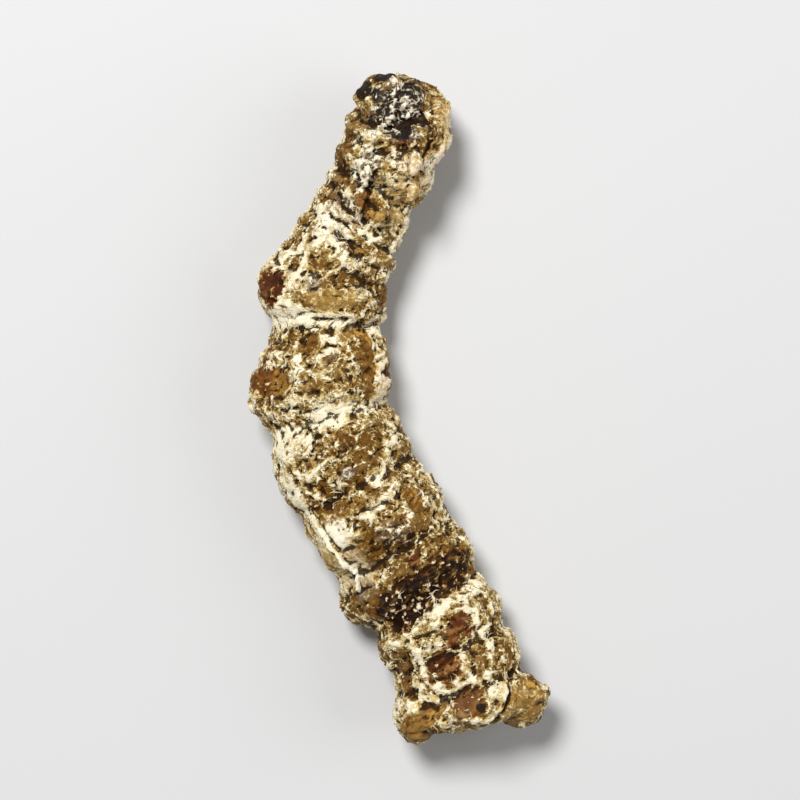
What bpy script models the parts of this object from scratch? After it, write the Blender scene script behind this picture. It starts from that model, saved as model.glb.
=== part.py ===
"""A dried muscardine silkworm, lying on its side.

A silkworm larva that a white fungus killed and overgrew, then dried hard. It is one continuous
body: a small head, three thorax segments and ten abdomen segments, with prolegs on the belly
side and a blunt tail. The body is a loft of rings along a curved spine.

Metres, +Z up. The head is at +Y, the belly faces -X, the back faces +X, and the body rests on z = 0.
The origin is under the middle of the body's bounding box.
"""

import math

import bmesh
import bpy
from mathutils import Matrix, Vector
from mathutils.geometry import interpolate_bezier

MM = 0.001

# Driving dimensions, in millimetres
REST_CUT = 0.16  # how much of the lowest bulges is pressed flat by the tray it dried on
HEIGHT_SHARE = 0.9  # a dried body is a little less high than wide
HEAD_ROUNDING = 2.2  # length over which the head end closes
HEAD_FULLNESS = 2.2  # 2 is a half ball, more is blunter
TAIL_ROUNDING = 1.2  # length over which the blunt tail closes
TAIL_FULLNESS = 3.0

# How finely the surface is divided
RING_SIDES = 40
RINGS_PER_MM = 2.35
END_CROWDING = 0.35  # share of the ring spacing that tightens towards the two ends
STEPS_PER_STRETCH = 24  # points of the smooth spine between two of its listed points

# The spine seen from above, head first: x, y, and the lift of the underside from the surface
SPINE = [
    (0.0, 17.55, 1.3),
    (0.1, 15.2, 1.2),
    (-0.2, 13.2, 1.0),
    (-1.2, 11.0, 0.75),
    (-2.6, 8.6, 0.4),
    (-3.45, 6.0, 0.1),
    (-3.6, 3.2, 0.0),
    (-3.5, 0.3, 0.0),
    (-2.8, -2.2, 0.0),
    (-1.6, -4.6, 0.05),
    (-0.1, -7.0, 0.05),
    (1.3, -9.4, 0.0),
    (2.55, -12.0, 0.0),
    (3.5, -14.7, 0.05),
    (4.1, -17.2, 0.15),
]

# Segments from head to tail: name, length along the spine, half width, depth of the fold behind it
SEGMENTS = [
    ("head", 2.7, 2.45, 0.14),
    ("thorax_1", 1.8, 2.7, 0.18),
    ("thorax_2", 2.0, 2.7, 0.2),
    ("thorax_3", 2.0, 2.5, 0.18),
    ("abdomen_1", 1.5, 2.6, 0.16),
    ("abdomen_2", 1.5, 2.8, 0.18),
    ("abdomen_3", 3.0, 3.05, 0.34),
    ("abdomen_4", 4.3, 3.3, 0.3),
    ("abdomen_5", 3.9, 3.4, 0.24),
    ("abdomen_6", 3.8, 3.45, 0.26),
    ("abdomen_7", 3.0, 3.4, 0.34),
    ("abdomen_8", 2.7, 3.3, 0.18),
    ("abdomen_9", 2.0, 3.3, 0.14),
    ("abdomen_10", 2.3, 3.4, 0.0),
]
FOLD_WIDTH = 0.55

# Lobes: name, place along the spine, angle from straight up towards the belly side in degrees,
# length along the spine, width round the body, height of the lobe
LOBES = [
    ("proleg_3_near", 12.3, 72, 1.15, 1.15, 0.8),
    ("proleg_3_far", 12.6, 122, 1.1, 1.1, 0.8),
    ("proleg_4_near", 17.4, 74, 1.35, 1.25, 0.8),
    ("proleg_4_far", 17.3, 124, 1.3, 1.15, 0.75),
    ("proleg_5_near", 21.4, 86, 1.2, 1.1, 0.3),
    ("proleg_5_far", 21.2, 126, 1.2, 1.1, 0.45),
    ("proleg_6_near", 28.0, 102, 1.6, 1.2, 0.7),
    ("proleg_6_far", 26.6, 130, 1.4, 1.2, 0.5),
    ("claspers_near", 35.6, 72, 1.2, 1.6, 0.5),
    ("claspers_far", 35.6, 120, 1.2, 1.4, 0.4),
    ("tail_lobe", 35.6, -82, 0.95, 1.3, 1.1),
    ("back_hump_2", 9.2, -60, 1.4, 1.6, 0.3),
    ("tail_horn", 31.2, -100, 0.7, 0.7, 0.3),
]
LOBE_STEEPNESS = 2.6  # 2 is a soft mound, more is a stub with steep sides

CUTICLE_COLOUR = (0.31, 0.23, 0.12, 1.0)
CUTICLE_ROUGHNESS = 0.8


def clear_scene():
    for old in list(bpy.data.objects):
        bpy.data.objects.remove(old, do_unlink=True)


def dried_cuticle():
    """Brown dried skin under a powdery cream coat, quite dull."""
    material = bpy.data.materials.new("dried_cuticle")
    material.use_nodes = True
    shader = material.node_tree.nodes["Principled BSDF"]
    shader.inputs["Base Color"].default_value = CUTICLE_COLOUR
    shader.inputs["Roughness"].default_value = CUTICLE_ROUGHNESS
    shader.inputs["Metallic"].default_value = 0.0
    material.diffuse_color = CUTICLE_COLOUR
    return material


def smooth_path(points):
    """A smooth curve through the points, as a closely spaced list."""
    vectors = [Vector(p) for p in points]
    path = []
    for i in range(len(vectors) - 1):
        before = vectors[max(i - 1, 0)]
        start = vectors[i]
        end = vectors[i + 1]
        after = vectors[min(i + 2, len(vectors) - 1)]
        handle_1 = start + (end - before) / 6
        handle_2 = end - (after - start) / 6
        stretch = interpolate_bezier(start, handle_1, handle_2, end, STEPS_PER_STRETCH)
        path.extend(stretch if i == 0 else stretch[1:])
    return path


def path_lengths(path):
    """How far along the path, seen from above, each of its points is."""
    lengths = [0.0]
    for a, b in zip(path, path[1:]):
        lengths.append(lengths[-1] + (b - a).xy.length)
    return lengths


def at_length(path, lengths, distance):
    """The point of the path at this distance, and its level direction there."""
    i = 1
    while i < len(lengths) - 1 and lengths[i] < distance:
        i += 1
    share = (distance - lengths[i - 1]) / (lengths[i] - lengths[i - 1])
    point = path[i - 1].lerp(path[i], share)
    a = path[max(i - 3, 0)]
    b = path[min(i + 2, len(path) - 1)]
    direction = Vector((b.x - a.x, b.y - a.y, 0.0)).normalized()
    return point, direction


def segment_ends():
    """Where each segment ends, measured from the tip of the head."""
    ends = []
    total = 0.0
    for _, length, _, _ in SEGMENTS:
        total += length
        ends.append(total)
    return ends


def half_width(distance, ends):
    """Half the body's width: a smooth line through the segments, drawn in at each fold."""
    centres = [end - segment[1] / 2 for end, segment in zip(ends, SEGMENTS)]
    widths = [segment[2] for segment in SEGMENTS]
    if distance <= centres[0]:
        width = widths[0]
    elif distance >= centres[-1]:
        width = widths[-1]
    else:
        i = max(k for k, centre in enumerate(centres) if centre <= distance)
        share = (distance - centres[i]) / (centres[i + 1] - centres[i])
        share = share * share * (3 - 2 * share)
        width = widths[i] + (widths[i + 1] - widths[i]) * share
    for end, segment in zip(ends, SEGMENTS):
        width -= segment[3] * math.exp(-(((distance - end) / FOLD_WIDTH) ** 2))
    return width


def closing(distance, total):
    """From 0 at either tip to 1 along the body: rounds off the head and squares off the tail."""
    from_head = min(distance / HEAD_ROUNDING, 1.0)
    from_tail = min((total - distance) / TAIL_ROUNDING, 1.0)
    head = (1 - (1 - from_head) ** HEAD_FULLNESS) ** 0.5
    tail = (1 - (1 - from_tail) ** TAIL_FULLNESS) ** 0.5
    return head * tail


def lobe_height(distance, angle, width):
    """How far the prolegs and tail lobes stand out of the body here."""
    height = 0.0
    for _, place, degrees, length, across, peak in LOBES:
        turn = (angle - math.radians(degrees) + math.pi) % (2 * math.pi) - math.pi
        reach = math.hypot((distance - place) / length, turn * width / across)
        height += peak * math.exp(-(reach**LOBE_STEEPNESS))
    return height


def ring_point(point, side, distance, angle, width, rounding):
    """One point of the body's surface, at an angle from straight up towards the belly side."""
    across = width * math.sin(angle)
    up = width * HEIGHT_SHARE * math.cos(angle)
    lobe = lobe_height(distance, angle, width)
    across += lobe * math.sin(angle)
    up += lobe * math.cos(angle)
    middle = point.z + width * HEIGHT_SHARE
    return Vector((point.x, point.y, middle)) + (side * across + Vector((0, 0, up))) * rounding


def loft_body(bm):
    """Rings of points along the spine, joined by faces, with a point closing each end."""
    path = smooth_path(SPINE)
    lengths = path_lengths(path)
    ends = segment_ends()
    total = min(ends[-1], lengths[-1])
    count = int(total * RINGS_PER_MM)
    rings = []
    for i in range(1, count):
        crowded = 0.5 - 0.5 * math.cos(math.pi * i / count)
        share = END_CROWDING * crowded + (1 - END_CROWDING) * i / count
        distance = total * share
        point, direction = at_length(path, lengths, distance)
        side = direction.cross(Vector((0, 0, 1)))
        width = half_width(distance, ends)
        rounding = closing(distance, total)
        ring = []
        for k in range(RING_SIDES):
            angle = 2 * math.pi * k / RING_SIDES
            ring.append(bm.verts.new(ring_point(point, side, distance, angle, width, rounding)))
        rings.append(ring)
    for ring, after in zip(rings, rings[1:]):
        for k in range(RING_SIDES):
            m = (k + 1) % RING_SIDES
            bm.faces.new((ring[k], ring[m], after[m], after[k]))
    for ring, distance in ((rings[0], 0.0), (rings[-1], total)):
        point, _ = at_length(path, lengths, distance)
        middle = point.z + half_width(distance, ends) * HEIGHT_SHARE
        tip = bm.verts.new(Vector((point.x, point.y, middle)))
        for k in range(RING_SIDES):
            bm.faces.new((ring[k], ring[(k + 1) % RING_SIDES], tip))


def flatten_underside(bm):
    """Cuts the lowest bulges off level, where the body lay on its tray, and closes the cut."""
    lowest = min(vertex.co.z for vertex in bm.verts)
    level = Vector((0, 0, lowest + REST_CUT))
    everything = bm.verts[:] + bm.edges[:] + bm.faces[:]
    cut = bmesh.ops.bisect_plane(
        bm, geom=everything, dist=1e-5, plane_co=level, plane_no=Vector((0, 0, 1)), clear_inner=True
    )
    rim = [item for item in cut["geom_cut"] if isinstance(item, bmesh.types.BMEdge)]
    bmesh.ops.holes_fill(bm, edges=rim, sides=0)


def stand_on_origin(mesh):
    """Puts the middle of the box's bottom at the origin, and turns millimetres into metres."""
    xs = [vertex.co.x for vertex in mesh.vertices]
    ys = [vertex.co.y for vertex in mesh.vertices]
    zs = [vertex.co.z for vertex in mesh.vertices]
    shift = Vector((-(min(xs) + max(xs)) / 2, -(min(ys) + max(ys)) / 2, -min(zs)))
    mesh.transform(Matrix.Scale(MM, 4) @ Matrix.Translation(shift))
    return shift


def build_silkworm():
    bm = bmesh.new()
    loft_body(bm)
    flatten_underside(bm)
    bmesh.ops.triangulate(bm, faces=bm.faces[:])
    bmesh.ops.recalc_face_normals(bm, faces=bm.faces[:])
    mesh = bpy.data.meshes.new("dried_silkworm")
    bm.to_mesh(mesh)
    bm.free()
    shift = stand_on_origin(mesh)
    mesh.shade_smooth()
    mesh.materials.append(dried_cuticle())
    silkworm = bpy.data.objects.new("dried_silkworm", mesh)
    bpy.context.scene.collection.objects.link(silkworm)
    print("triangles", len(mesh.polygons), "shift", [round(v, 3) for v in shift])
    return silkworm


clear_scene()
build_silkworm()
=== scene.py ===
# %% [markdown]
# # A dried muscardine silkworm
# A silkworm larva that a white fungus killed: the fungus grew through the body, came out at the folds as
# a cream felt, and the whole thing dried hard. This lesson builds one of them, lying on its side, seen
# from straight above. The plain solid that carries it is loaded first. It has the real size, so the
# sculpted body is grown out of that solid and stays inside its box.

# %% Load the frame
import math

import bmesh
import bpy
import numpy as np
from mathutils import Matrix, Vector
from mathutils.bvhtree import BVHTree


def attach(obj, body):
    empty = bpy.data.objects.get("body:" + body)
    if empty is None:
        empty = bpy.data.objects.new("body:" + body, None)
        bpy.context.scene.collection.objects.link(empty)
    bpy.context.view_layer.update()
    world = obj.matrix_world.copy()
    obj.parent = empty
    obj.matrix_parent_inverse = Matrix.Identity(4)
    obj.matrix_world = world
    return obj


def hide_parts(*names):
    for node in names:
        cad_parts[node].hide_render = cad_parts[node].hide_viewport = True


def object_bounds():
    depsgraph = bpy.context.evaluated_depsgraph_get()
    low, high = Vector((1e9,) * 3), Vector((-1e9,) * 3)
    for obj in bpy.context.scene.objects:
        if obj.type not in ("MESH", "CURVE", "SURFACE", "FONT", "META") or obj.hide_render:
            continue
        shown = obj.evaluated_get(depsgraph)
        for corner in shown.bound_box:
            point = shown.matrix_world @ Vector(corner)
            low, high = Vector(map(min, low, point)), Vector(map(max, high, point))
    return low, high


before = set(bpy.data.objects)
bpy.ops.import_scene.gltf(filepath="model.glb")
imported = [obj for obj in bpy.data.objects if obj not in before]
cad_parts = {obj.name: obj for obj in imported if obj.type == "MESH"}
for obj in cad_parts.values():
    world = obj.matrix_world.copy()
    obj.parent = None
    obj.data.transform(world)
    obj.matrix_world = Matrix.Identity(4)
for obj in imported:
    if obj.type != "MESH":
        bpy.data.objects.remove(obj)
cad_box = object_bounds()
MM = 0.001
NODE = "dried_silkworm"
print("solid box in mm", [[round(v / MM, 2) for v in corner] for corner in cad_box])

# %% [markdown]
# ## Straightened coordinates
# Everything on a larva is laid out along its body and round it: rings, legs, folds. So each point of the
# surface gets two numbers, how far it is along the spine in millimetres and its angle round the spine.
# The angle is 0 straight up, 90 at the belly side (-X) and -90 at the back (+X). With the body
# straightened in this way, a ring is simply a place along it, and a wrinkle can be made longer round the
# body than along it.

# %% Spine
SPINE = np.array([
    (-0.23, 17.17, 3.35), (-0.13, 14.82, 3.4), (-0.43, 12.82, 3.3), (-1.43, 10.62, 2.9),
    (-2.83, 8.22, 2.65), (-3.68, 5.62, 2.7), (-3.83, 2.82, 2.75), (-3.73, -0.08, 2.85),
    (-3.03, -2.58, 2.9), (-1.83, -4.98, 2.95), (-0.33, -7.38, 3.0), (1.07, -9.78, 2.9),
    (2.32, -12.38, 2.85), (3.27, -15.08, 2.9), (3.87, -17.58, 3.05),
])
STEPS = 24


def smooth_path(points):
    """A closely spaced smooth curve through the points."""
    path = []
    for i in range(len(points) - 1):
        before, start, end = points[max(i - 1, 0)], points[i], points[i + 1]
        after = points[min(i + 2, len(points) - 1)]
        handle_1 = start + (end - before) / 6
        handle_2 = end - (after - start) / 6
        for t in np.linspace(0, 1, STEPS, endpoint=False):
            a, b, c, d = (1 - t) ** 3, 3 * (1 - t) ** 2 * t, 3 * (1 - t) * t * t, t**3
            path.append(a * start + b * handle_1 + c * handle_2 + d * end)
    path.append(points[-1])
    return np.array(path)


path = smooth_path(SPINE)
step = np.linalg.norm(np.diff(path[:, :2], axis=0), axis=1)
path_along = np.concatenate([[0], np.cumsum(step)])
BODY_LENGTH = path_along[-1]
heading = np.gradient(path[:, :2], axis=0)
heading /= np.linalg.norm(heading, axis=1)[:, None]
print("spine length in mm", round(BODY_LENGTH, 1))


def straighten(points):
    """Each point's place in the straightened body: along, towards the belly, up. In millimetres."""
    nearest = np.empty(len(points), np.int64)
    for first in range(0, len(points), 20000):
        some = points[first:first + 20000, None, :2] - path[None, :, :2]
        nearest[first:first + 20000] = (some**2).sum(2).argmin(1)
    away = points[:, :2] - path[nearest, :2]
    ahead = heading[nearest]
    along = path_along[nearest] + (away * ahead).sum(1)
    belly = away[:, 0] * ahead[:, 1] - away[:, 1] * ahead[:, 0]
    return np.stack([along, belly, points[:, 2] - path[nearest, 2]], 1)


def angle_round(straight):
    """Angle round the spine in degrees: 0 is up, 90 is the belly side."""
    return np.degrees(np.arctan2(straight[:, 1], straight[:, 2]))


# %% [markdown]
# ## Random patterns
# Dried skin and fungus felt are made of irregular waves and cells. Blender's own texture nodes can
# colour such patterns, but here the same pattern has to shape the mesh and colour it, so that the cream
# felt lies in the same valleys that are dented in the surface. So three patterns are worked out at every
# vertex: smooth waves, waves on waves, and cells with their borders. The numbers come from the lattice
# corner itself, so each run gives the same result.

# %% Pattern helpers
def corner_random(corner, seed):
    """A repeatable number from 0 to 1 for each lattice corner."""
    x, y, z = corner
    mixed = (x * 73856093) ^ (y * 19349663) ^ (z * 83492791) ^ (seed * 40503)
    mixed &= 0xFFFFFFFF
    mixed = ((mixed ^ (mixed >> 15)) * 2246822519) & 0xFFFFFFFF
    mixed = ((mixed ^ (mixed >> 13)) * 3266489917) & 0xFFFFFFFF
    return (mixed ^ (mixed >> 16)) / 4294967295.0


def waves(points, size, seed):
    """Smooth random waves about one size across, from about -1 to 1."""
    scaled = points / size
    cell = np.floor(scaled).astype(np.int64)
    part = scaled - cell
    ease = part**3 * (part * (part * 6 - 15) + 10)
    total = np.zeros(len(points))
    for corner in np.ndindex(2, 2, 2):
        at = [cell[:, k] + corner[k] for k in range(3)]
        slope = sum((corner_random(at, seed * 7 + k) - 0.5) * (part[:, k] - corner[k]) for k in range(3))
        weight = 1.0
        for k in range(3):
            weight = weight * (ease[:, k] if corner[k] else 1 - ease[:, k])
        total += slope * weight
    return total * 3.2


def rough(points, size, seed, octaves=3, gain=0.5):
    """Waves on waves: each octave is half as large and weaker by gain."""
    total = np.zeros(len(points))
    strength = 1.0
    for k in range(octaves):
        total += strength * waves(points, size / 2**k, seed + 31 * k)
        strength *= gain
    return total


def creases(points, size, seed, width):
    """Thin winding lines, 1 on the line and 0 away from it: the places where waves change their sign."""
    return np.exp(-((rough(points, size, seed, 2) / width) ** 2))


def cells(points, size, seed):
    """For random cells about one size across: distance to the middle, to the border, and the cell's number."""
    scaled = points / size
    home = np.floor(scaled).astype(np.int64)
    near = np.full(len(points), 9.0)
    second = np.full(len(points), 9.0)
    number = np.zeros(len(points))
    for offset in np.ndindex(3, 3, 3):
        at = [home[:, k] + offset[k] - 1 for k in range(3)]
        gap = sum((at[k] + corner_random(at, seed * 5 + k) - scaled[:, k]) ** 2 for k in range(3)) ** 0.5
        closer = gap < near
        second = np.where(closer, near, np.minimum(second, gap))
        number = np.where(closer, corner_random(at, seed * 5 + 4), number)
        near = np.where(closer, gap, near)
    return near, second - near, number


def ramp(value, low, high):
    """0 below low, 1 above high, and smooth between."""
    t = np.clip((value - low) / (high - low), 0, 1)
    return t * t * (3 - 2 * t)


# %% [markdown]
# ## The rough body
# The solid already has the real outline: thorax, ringed abdomen, proleg stubs and the blunt tail. Its
# copy is remeshed into even little squares, so that it can be pushed and pulled like clay. Voxel
# remeshing is the right tool here, because it makes squares of one size wherever the skin is stretched.

# %% Copy the solid
ROUGH_STEP = 0.16  # square size of the rough body
FINE_STEP = 0.106  # square size of the finished skin


def object_from(bm, name):
    mesh = bpy.data.meshes.new(name)
    bm.to_mesh(mesh)
    bm.free()
    made = bpy.data.objects.new(name, mesh)
    bpy.context.scene.collection.objects.link(made)
    return made


def apply_modifiers(obj):
    """Bakes the object's modifiers into its mesh."""
    bpy.context.view_layer.update()
    evaluated = obj.evaluated_get(bpy.context.evaluated_depsgraph_get())
    baked = bpy.data.meshes.new_from_object(evaluated)
    old = obj.data
    obj.modifiers.clear()
    obj.data = baked
    bpy.data.meshes.remove(old)


def melt(obj, voxel, smoothing):
    """Remeshes into even squares, then relaxes them."""
    remesh = obj.modifiers.new("squares", "REMESH")
    remesh.mode = "VOXEL"
    remesh.voxel_size = voxel
    relax = obj.modifiers.new("relax", "SMOOTH")
    relax.factor = 0.5
    relax.iterations = smoothing
    apply_modifiers(obj)


def read_points(obj):
    points = np.empty(len(obj.data.vertices) * 3, np.float32)
    obj.data.vertices.foreach_get("co", points)
    return points.reshape(-1, 3).astype(float)


def read_normals(obj):
    normals = np.empty(len(obj.data.vertices) * 3, np.float32)
    obj.data.vertex_normals.foreach_get("vector", normals)
    return normals.reshape(-1, 3).astype(float)


def write_points(obj, points):
    obj.data.vertices.foreach_set("co", points.astype(np.float32).ravel())
    obj.data.update()


bm = bmesh.new()
bm.from_mesh(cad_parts[NODE].data)
bmesh.ops.transform(bm, matrix=Matrix.Scale(1 / MM, 4), verts=bm.verts[:])
bmesh.ops.remove_doubles(bm, verts=bm.verts[:], dist=0.001)
body = object_from(bm, "silkworm_body")
melt(body, ROUGH_STEP, 5)
print("rough body faces", len(body.data.polygons))

# %% [markdown]
# ## Sinking, folds and rings
# As the larva dried it shrank unevenly: the flanks sank, the skin folded between its segments, and each
# abdomen segment creased into three or four smaller rings. These shapes are too large for a bump map,
# so every vertex is really moved along its normal. The folds are not straight circles: their place
# along the body drifts with a slow wave, and those in the twisted neck run aslant. In front, the first
# thorax ring is a collar. It is open towards the top, because the neck is twisted and the face looks up,
# so the skin ahead of the collar's edge is drawn in to make room for the head.

# %% Large shapes
# Folds between segments: along, slant from back to belly, depth, half width, thickness of felt in it. All in
# millimetres. A negative felt thickness leaves the fold bare.
FOLDS = [
    (4.9, 0.3, 0.16, 0.3, 0.0), (6.6, -0.3, 0.2, 0.3, 0.02), (8.4, -0.8, 0.3, 0.3, 0.06),
    (9.8, -0.9, 0.2, 0.26, 0.05), (11.1, -0.5, 0.12, 0.3, 0.0), (14.0, -0.1, 0.3, 0.3, 0.1),
    (18.9, 0.4, 0.26, 0.42, 0.1), (23.9, 0.3, 0.16, 0.34, 0.06), (26.4, 0.7, 0.08, 0.3, 0.0),
    (29.5, 0.5, 0.26, 0.4, -0.02), (32.3, 0.3, 0.1, 0.3, 0.02), (34.3, 0.2, 0.12, 0.3, 0.02),
]
RINGS_PER_SEGMENT = 4
COLLAR = (2.45, 1.45, 0.55)  # where its edge is: mean along, how much further back on top, and at the belly
COLLAR_ROOM = 0.9


def drifting_along(straight):
    """Place along the body, with the slow drift that keeps rings from being perfect circles."""
    return straight[:, 0] + 0.3 * waves(straight, 3.4, 11) + 0.1 * waves(straight, 1.1, 12)


def folds_at(straight):
    """How deep the skin is folded in here, and how thick the felt of the fold is."""
    place = drifting_along(straight)
    belly_share = np.sin(np.radians(angle_round(straight)))
    depth = np.zeros(len(straight))
    filling = np.zeros(len(straight))
    for along, slant, deep, wide, felt in FOLDS:
        gap = np.abs(place - along - slant * belly_share)
        crease = np.exp(-((gap / wide) ** 1.2))
        lip = np.exp(-(((gap - 2.4 * wide) / (1.3 * wide)) ** 2))
        vary = 0.8 + 0.4 * waves(straight, 2.2, int(along * 10))
        depth += deep * vary * (crease - 0.28 * lip)
        filling += felt * np.exp(-((gap / (1.6 * wide)) ** 2))
    return depth, filling


def small_rings(straight):
    """The shallow rings between two folds, 0 on a ring's crown and 1 in its groove."""
    place = drifting_along(straight) + 0.12 * waves(straight, 0.7, 13)
    edges = np.array([fold[0] for fold in FOLDS] + [BODY_LENGTH])
    after = np.searchsorted(edges, place).clip(1, len(edges) - 1)
    share = (place - edges[after - 1]) / (edges[after] - edges[after - 1])
    count = np.where(edges[after] - edges[after - 1] > 2.4, RINGS_PER_SEGMENT, 2)
    phase = np.abs(((share * count) % 1.0) - 0.5) * 2
    return ramp(phase, 0.55, 1.0) * (share > 0) * (share < 1)


def ahead_of_collar(straight):
    """Millimetres ahead of the collar's slanting edge, negative behind it."""
    turn = np.radians(angle_round(straight))
    mean, back_on_top, back_at_belly = COLLAR
    edge = mean + back_on_top * np.cos(turn) + back_at_belly * np.sin(turn)
    return edge - straight[:, 0] + 0.15 * waves(straight, 1.2, 23)


def open_collar(body):
    """Draws the skin ahead of the collar's edge back and in, and gives the edge a lip."""
    points = read_points(body)
    straight = straighten(points)
    ahead = ahead_of_collar(straight)
    middle = points.copy()
    nearest = np.clip(np.searchsorted(path_along, straight[:, 0]), 0, len(path) - 1)
    middle[:, :] = path[nearest]
    inward = 0.5 * ramp(ahead, 0.0, 0.8)
    points += (middle - points) * inward[:, None]
    back = np.maximum(ahead, 0) - COLLAR_ROOM * (1 - np.exp(-np.maximum(ahead, 0) / COLLAR_ROOM))
    points[:, :2] += heading[nearest] * back[:, None]
    lip = 0.1 * np.exp(-(((ahead + 0.25) / 0.3) ** 2))
    points += read_normals(body) * lip[:, None]
    write_points(body, points)


def sink_and_fold(body):
    points = read_points(body)
    straight = straighten(points)
    angle = angle_round(straight)
    depth, _ = folds_at(straight)
    shape = -depth
    shape += 0.16 * waves(straight * (0.7, 1, 1), 3.0, 21) + 0.06 * waves(straight, 1.7, 22)
    shape += 0.045 * waves(straight, 0.95, 26)
    bent = straight * (1, 0.7, 0.7) + 0.4 * waves(straight, 2.0, 24)[:, None]
    shape -= 0.13 * creases(bent, 2.1, 25, 0.1)
    flank = np.exp(-(((angle - 18) / 16) ** 2)) * ramp(straight[:, 0], 10, 13)
    shape -= 0.14 * flank
    points += read_normals(body) * shape[:, None]
    write_points(body, points)


sink_and_fold(body)
open_collar(body)

# %% [markdown]
# ## Head and legs
# A silkworm's head is a small horny capsule of two rounded lobes, with the mouthparts between them: two
# mandibles, an upper lip and a lower lip. Behind it stand three pairs of little hooked legs. All of them
# grow out of one skin, so they are made as plain closed lumps and tapered tubes, joined to the body, and
# melted into it by the second remesh.

# %% Head capsule, mouthparts and thorax legs
HEAD_MIDDLE = Vector((-0.3, 15.0, 3.6))
HEAD_FORWARD = Vector((-0.2, 0.98, 0.05)).normalized()
HEAD_ACROSS = HEAD_FORWARD.cross(Vector((0, 0, 1))).normalized()
HEAD_UP = HEAD_ACROSS.cross(HEAD_FORWARD)
# Each lump: middle (across, forward, up) and radii (across, forward, up), in millimetres
HEAD_LUMPS = {
    "left_lobe": ((-0.6, 0.1, 0.0), (1.2, 1.7, 1.5)),
    "right_lobe": ((0.65, -0.1, 0.0), (1.25, 1.5, 1.5)),
    "forehead": ((0.0, 0.75, 0.3), (0.8, 0.95, 1.1)),
    "upper_lip": ((0.05, -0.1, 1.4), (0.5, 0.24, 0.24)),
    "left_mandible": ((-0.4, -0.55, 1.25), (0.3, 0.45, 0.36)),
    "right_mandible": ((0.45, -0.6, 1.25), (0.3, 0.45, 0.36)),
    "lower_lip": ((0.05, -1.4, 1.15), (0.5, 0.45, 0.4)),
    "left_feeler": ((-1.0, -0.2, 1.2), (0.17, 0.2, 0.34)),
    "right_feeler": ((1.1, -0.3, 1.15), (0.17, 0.2, 0.34)),
    "left_jaw_corner": ((-1.55, 0.75, 0.1), (0.42, 0.5, 0.5)),
}
# The tail's end has a rounded flap at the back's side, and a blunt corner at the belly's side. Each has its
# middle and its radii in millimetres.
TAIL_LUMPS = {
    "tail_flap": ((6.1, -15.5, 3.1), (1.45, 1.25, 1.7)),
    "tail_side": ((4.9, -13.2, 3.0), (1.25, 1.7, 2.1)),
    "tail_corner": ((0.85, -16.0, 3.0), (1.15, 1.65, 2.3)),
}
LEG_LENGTH = 1.1
# The skin of each leg in front of the claw: along, angle, distance of the skin from the spine
LEGS = [
    (4.3, 26, 2.5), (5.7, 17, 2.4), (7.2, 8, 2.25),
    (4.5, -32, 2.45), (5.5, -46, 2.4), (7.3, -26, 2.2),
]
LEG_PLACES = [(0.0, -0.35, 1.15), (0.05, 0.1, 1.05), (0.25, 0.34, 0.85), (0.55, 0.42, 0.62), (0.85, 0.3, 0.4),
              (1.0, 0.12, 0.16)]  # share of the length backward, rise from the skin, share of the radius
LEG_RADIUS = 0.35


def place_on_body(along, degrees, out):
    """The point out millimetres from the spine, at this place along the body and this angle."""
    i = int(np.searchsorted(path_along, along).clip(1, len(path) - 1))
    side = Vector((heading[i][1], -heading[i][0], 0.0))
    turn = math.radians(degrees)
    return Vector(path[i]) + (side * math.sin(turn) + Vector((0, 0, math.cos(turn)))) * out


def tapered_tube(bm, points, radii, sides=12):
    """A closed tube through the points, with its own radius at each."""
    rings = []
    for i, (point, radius) in enumerate(zip(points, radii)):
        ahead = points[min(i + 1, len(points) - 1)] - points[max(i - 1, 0)]
        turn = ahead.to_track_quat("Z", "Y")
        ring = []
        for k in range(sides):
            a = 2 * math.pi * k / sides
            ring.append(bm.verts.new(point + turn @ Vector((math.cos(a) * radius, math.sin(a) * radius, 0))))
        rings.append(ring)
    for ring, after in zip(rings, rings[1:]):
        for k in range(sides):
            m = (k + 1) % sides
            bm.faces.new((ring[k], ring[m], after[m], after[k]))
    bm.faces.new(rings[0][::-1])
    bm.faces.new(rings[-1])


def leg_points(along, degrees, out):
    """A short hooked leg's middle line: it stands out of the skin, then bends back along the belly."""
    lean = 8 if degrees > 0 else -4
    return [
        place_on_body(along + back * LEG_LENGTH, degrees - lean * back, out + rise)
        for back, rise, _ in LEG_PLACES
    ]


def head_point(offset):
    across, forward, up = offset
    return HEAD_MIDDLE + HEAD_ACROSS * across + HEAD_FORWARD * forward + HEAD_UP * up


def keep_one_skin(obj):
    """Keeps the largest connected skin, and removes the specks that a remesh can leave beside it."""
    bm = bmesh.new()
    bm.from_mesh(obj.data)
    waiting = set(bm.verts)
    islands = []
    while waiting:
        front = [waiting.pop()]
        island = set(front)
        while front:
            for edge in front.pop().link_edges:
                for vert in edge.verts:
                    if vert in waiting:
                        waiting.remove(vert)
                        island.add(vert)
                        front.append(vert)
        islands.append(island)
    skin = max(islands, key=len)
    bmesh.ops.delete(bm, geom=[vert for vert in bm.verts if vert not in skin], context="VERTS")
    bm.to_mesh(obj.data)
    bm.free()
    print("separate skins found", len(islands), "and one kept")


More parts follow.
